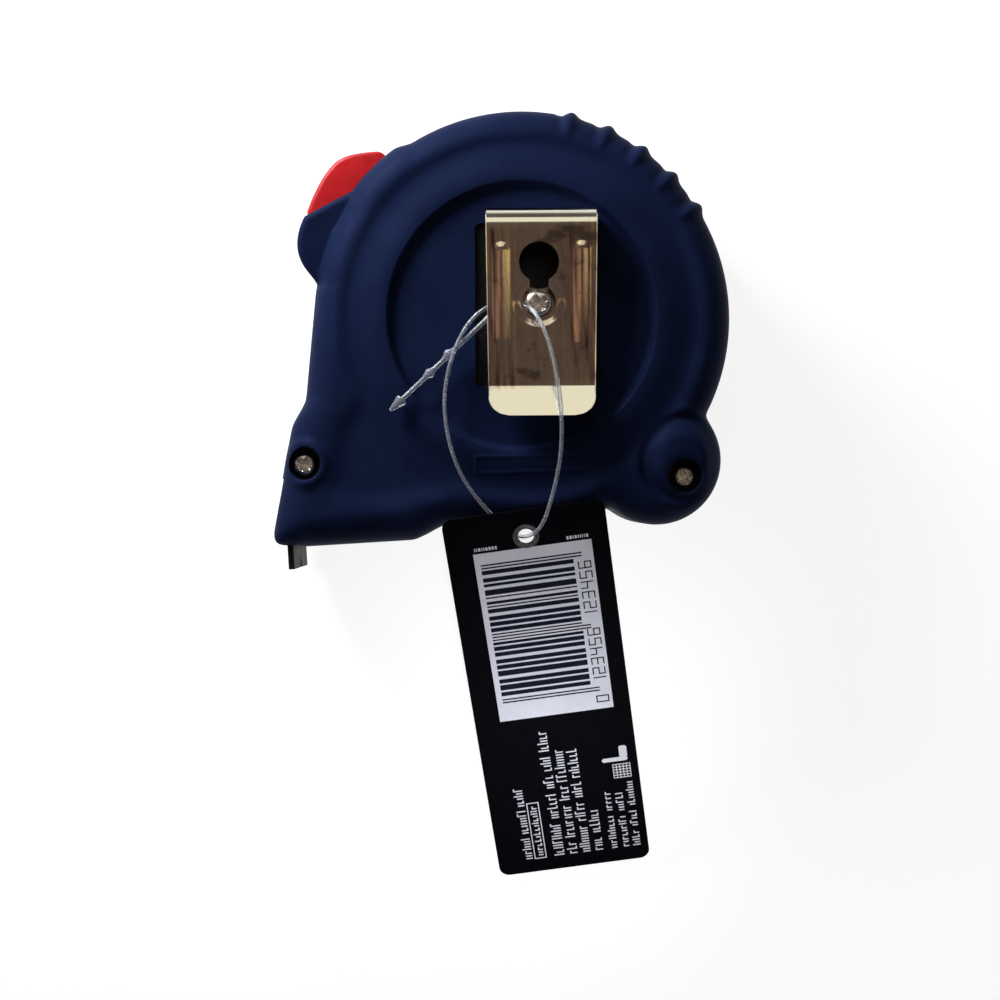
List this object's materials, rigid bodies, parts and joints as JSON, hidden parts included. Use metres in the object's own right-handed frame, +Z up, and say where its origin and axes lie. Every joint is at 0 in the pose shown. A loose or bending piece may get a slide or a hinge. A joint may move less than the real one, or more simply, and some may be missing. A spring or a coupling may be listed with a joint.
{
  "type": "tape measure",
  "caption": "Pocket tape measure: round rubber-covered case, foot with end hook, thumb lock, steel belt clip, and a card swing tag on a nylon loop.",
  "frame": {"origin": "centre of the round of the case, on the plane that the front cover rests on", "axes": "+Z up out of the clip side; -X towards the blade's mouth; -Y out of the flat base"},
  "size_m": [0.0959, 0.1628, 0.0457],
  "materials": {
    "grip_rubber": "soft-touch matt",
    "shell_plastic": "moulded",
    "badge_plastic": "fine grain",
    "bright_steel": "polished",
    "spring_steel": "tempered",
    "blade_paint": "satin lacquer",
    "hook_steel": "dark plated",
    "lock_plastic": "glossy",
    "clip_steel": "nickel plated, polished",
    "tag_card": "printed, coated",
    "eyelet_plastic": "translucent",
    "nylon": "translucent"
  },
  "bodies": {
    "case": {"rear_cover": "grip_rubber", "front_cover": "grip_rubber", "rear_shell": "shell_plastic", "front_shell": "shell_plastic", "front_badge": "badge_plastic", "case_screws": "bright_steel", "blade_guide": "spring_steel", "hook_bumper": "grip_rubber", "centre_post": "shell_plastic", "thrust_washers": "shell_plastic", "power_spring": "spring_steel", "detent_spring": "spring_steel", "belt_clip": "clip_steel", "clip_screw": "bright_steel", "tag_loop": "nylon", "loop_socket": "nylon", "loop_tail": "nylon"},
    "blade": {"blade_tongue": "blade_paint", "hook_rivets": "bright_steel"},
    "hook": {"end_hook": "hook_steel"},
    "reel": {"reel_drum": "shell_plastic", "reel_flange": "shell_plastic", "blade_coil": "blade_paint"},
    "lock": {"thumb_lock": "lock_plastic", "lock_arm": "shell_plastic", "brake_pad": "grip_rubber"},
    "tag": {"swing_tag": "tag_card", "tag_eyelet": "eyelet_plastic"}
  },
  "joints": [
    {"name": "blade_pull", "type": "slide", "parent": "case", "child": "blade", "axis": [-1, 0, 0], "range_m": [0, 0.04]},
    {"name": "hook_float", "type": "slide", "parent": "blade", "child": "hook", "axis": [-1, 0, 0], "range_m": [0, 0.001]},
    {"name": "reel_spin", "type": "hinge", "parent": "case", "child": "reel", "pos_m": [0.0035, 0.0024, 0.01925], "axis": [0, 0, -1], "range_deg": [0, 86]},
    {"name": "lock_slide", "type": "hinge", "parent": "case", "child": "lock", "pos_m": [0, 0, 0.01925], "axis": [0, 0, 1], "range_deg": [0, 9]},
    {"name": "tag_swing", "type": "hinge", "parent": "case", "child": "tag", "pos_m": [-0.0019, -0.0444, 0.0351], "axis": [0, -0.4147, 0.91], "range_deg": [-8, 8]}
  ],
  "couplings": [
    {"joint": "reel_spin", "follows": "blade_pull", "rad_per_m": 36.687}
  ]
}
